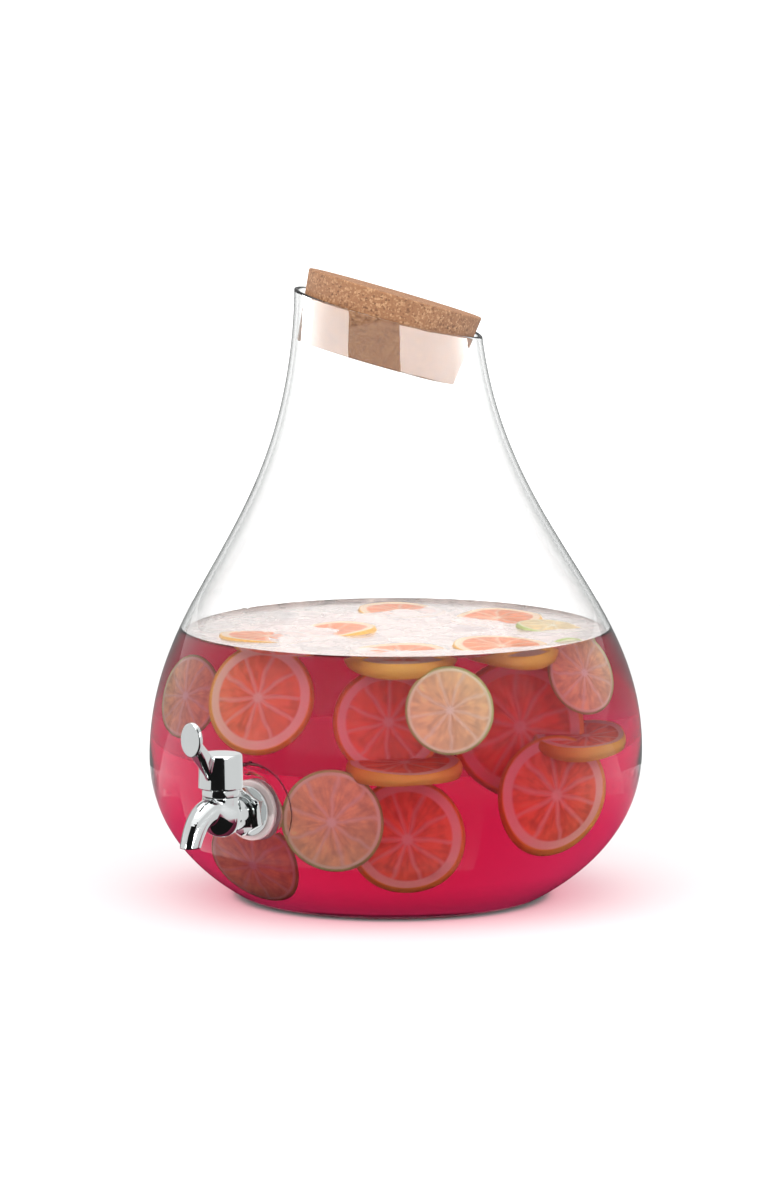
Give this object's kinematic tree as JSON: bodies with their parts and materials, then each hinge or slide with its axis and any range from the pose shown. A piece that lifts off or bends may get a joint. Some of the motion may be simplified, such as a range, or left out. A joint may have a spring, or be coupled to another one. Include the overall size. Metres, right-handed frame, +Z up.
{
  "type": "beverage dispenser",
  "caption": "Pear-shaped clear glass drink dispenser with a slanted mouth, a tapered cork stopper and a polished metal spigot with a quarter-turn lever valve.",
  "frame": {"origin": "centre of the flat foot's underside", "axes": "+Z up, spigot points along -Y, low side of the slanted mouth 35 degrees from +X towards +Y"},
  "size_m": [0.29, 0.3511, 0.3703],
  "materials": {
    "clear_glass": "polished",
    "cork": "matte",
    "polished_steel": "mirror polished",
    "plain_steel": "turned",
    "silicone": "satin translucent",
    "dark_rubber": "matte",
    "nylon": "matte"
  },
  "bodies": {
    "vessel": {"glass_vessel": "clear_glass", "spout_body": "polished_steel", "outer_flange_nut": "polished_steel", "outer_washer": "silicone", "inner_washer": "silicone", "inner_flat_washer": "plain_steel", "lock_nut": "plain_steel", "valve_sleeve": "silicone", "thrust_washer": "nylon", "bonnet_ring": "polished_steel"},
    "stopper": {"cork_stopper": "cork"},
    "tap_handle": {"handle": "polished_steel", "handle_grub_screw": "plain_steel", "valve_plug": "plain_steel", "stem_o_ring_lower": "dark_rubber", "stem_o_ring_upper": "dark_rubber"}
  },
  "joints": [
    {"name": "stopper_lift", "type": "slide", "parent": "vessel", "child": "stopper", "axis": [0.1952, 0.207, 0.9587], "range_m": [0, 0.06]},
    {"name": "tap_turn", "type": "hinge", "parent": "vessel", "child": "tap_handle", "pos_m": [0, -0.16934, 0.069], "axis": [0, 0, 1], "range_deg": [-90, 90]}
  ]
}
